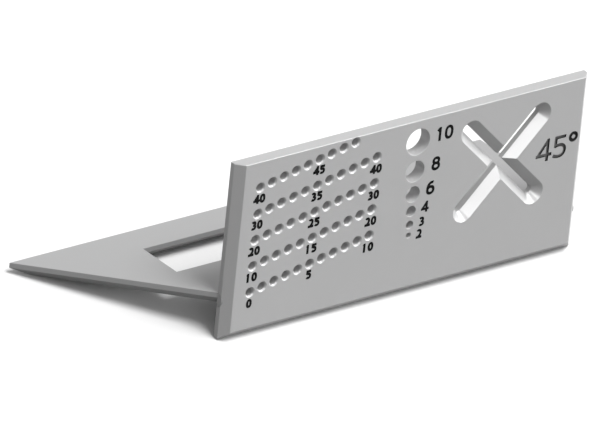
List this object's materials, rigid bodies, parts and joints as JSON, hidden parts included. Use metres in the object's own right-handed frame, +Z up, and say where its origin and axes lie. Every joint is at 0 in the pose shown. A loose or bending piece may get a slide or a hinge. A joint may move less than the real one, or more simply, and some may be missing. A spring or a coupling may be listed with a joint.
{
  "type": "multifunction ruler",
  "caption": "Square marking ruler: an upright plate with millimetre pencil holes, drill gauge holes and a 45 degree cross slot, glued on a flat fence with a mitre side and a window.",
  "frame": {"origin": "on the floor, under the middle of the space that the ruler takes as it rests", "axes": "+X along the face plate, away from the mitre side; +Y from the face plate's front to the base's far edge; +Z up. The ruler leans back by 14.1 degrees about X, as it comes to rest."},
  "size_m": [0.2032, 0.0576, 0.0662],
  "materials": {
    "face_plastic": "fine satin-matte grey moulding",
    "base_plastic": "fine satin-matte grey moulding, a shade darker"
  },
  "bodies": {
    "root": {"face_plate": "face_plastic", "base_plate": "base_plastic"}
  },
  "joints": []
}
